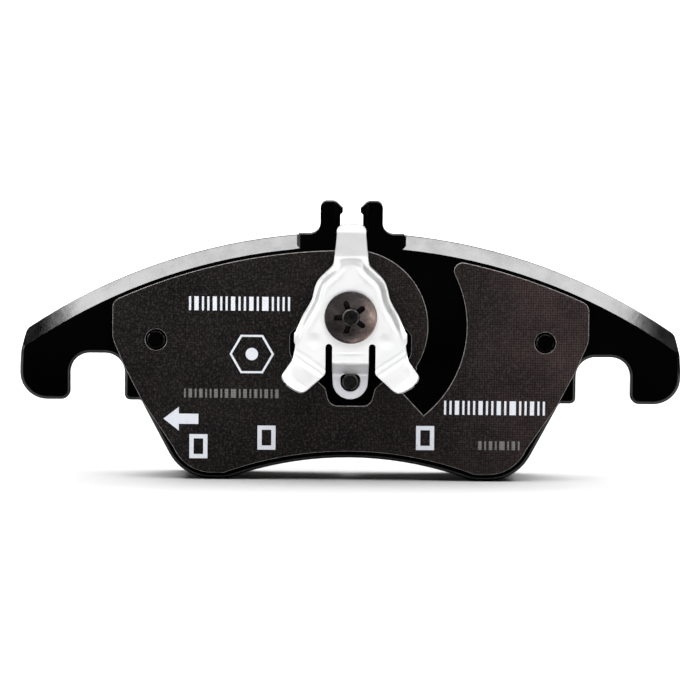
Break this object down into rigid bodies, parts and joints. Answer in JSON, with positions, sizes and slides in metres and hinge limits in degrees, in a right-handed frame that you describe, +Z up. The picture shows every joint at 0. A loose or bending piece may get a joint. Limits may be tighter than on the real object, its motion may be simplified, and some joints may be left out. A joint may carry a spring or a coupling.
{
  "type": "disc brake pad",
  "caption": "Hook-ended disc brake pad with chamfered friction lining, laminated anti-noise shim and sprung piston clip on a studded steel backing plate.",
  "frame": {"origin": "middle of the pad's footprint, on the surface its two bottom lobes stand on", "axes": "+Z up through the ears, +X along the pad's width, -Y towards the piston, +Y towards the disc"},
  "size_m": [0.1932, 0.0334, 0.0817],
  "materials": {
    "plate_paint": "gloss black stoved paint",
    "adhesive": "cured adhesive film",
    "underlayer": "rough moulded base layer",
    "lining": "ground friction composite with metal and mineral specks",
    "stud_steel": "black steel",
    "zinc_plate": "bright zinc plate, satin",
    "washer_steel": "phosphated spring steel, oiled",
    "white_ink": "printed ink",
    "grey_ink": "faint printed ink",
    "shim_rubber": "nitrile rubber coat",
    "shim_steel": "cold-rolled strip",
    "shim_coat": "woven-texture rubber coat"
  },
  "bodies": {
    "pad": {"backing_plate": "plate_paint", "shim_adhesive": "adhesive", "shim_rubber_back": "shim_rubber", "shim_core": "shim_steel", "shim_facing": "shim_coat", "white_marks": "white_ink", "grey_marks": "grey_ink", "shim_pin_left": "plate_paint", "shim_pin_right": "plate_paint", "clip_stud": "stud_steel", "locating_pin": "stud_steel", "clip_base": "zinc_plate", "star_washer": "washer_steel", "bond_film": "adhesive", "underlayer": "underlayer", "friction_lining": "lining"},
    "tongue": {"clip_tongue": "zinc_plate"},
    "leg_left": {"clip_leg_left": "zinc_plate"},
    "leg_right": {"clip_leg_right": "zinc_plate"}
  },
  "joints": [
    {"name": "tongue_flex", "type": "hinge", "parent": "pad", "child": "tongue", "pos_m": [0, -0.00925, 0.0662], "axis": [1, 0, 0], "range_deg": [0, 6], "stiffness_Nm_per_rad": 1.2},
    {"name": "leg_left_flex", "type": "hinge", "parent": "pad", "child": "leg_left", "pos_m": [-0.0116, -0.00925, 0.0404], "axis": [-1, 0, 0], "range_deg": [0, 6], "stiffness_Nm_per_rad": 1.2},
    {"name": "leg_right_flex", "type": "hinge", "parent": "pad", "child": "leg_right", "pos_m": [0.0116, -0.00925, 0.0404], "axis": [-1, 0, 0], "range_deg": [0, 6], "stiffness_Nm_per_rad": 1.2}
  ]
}
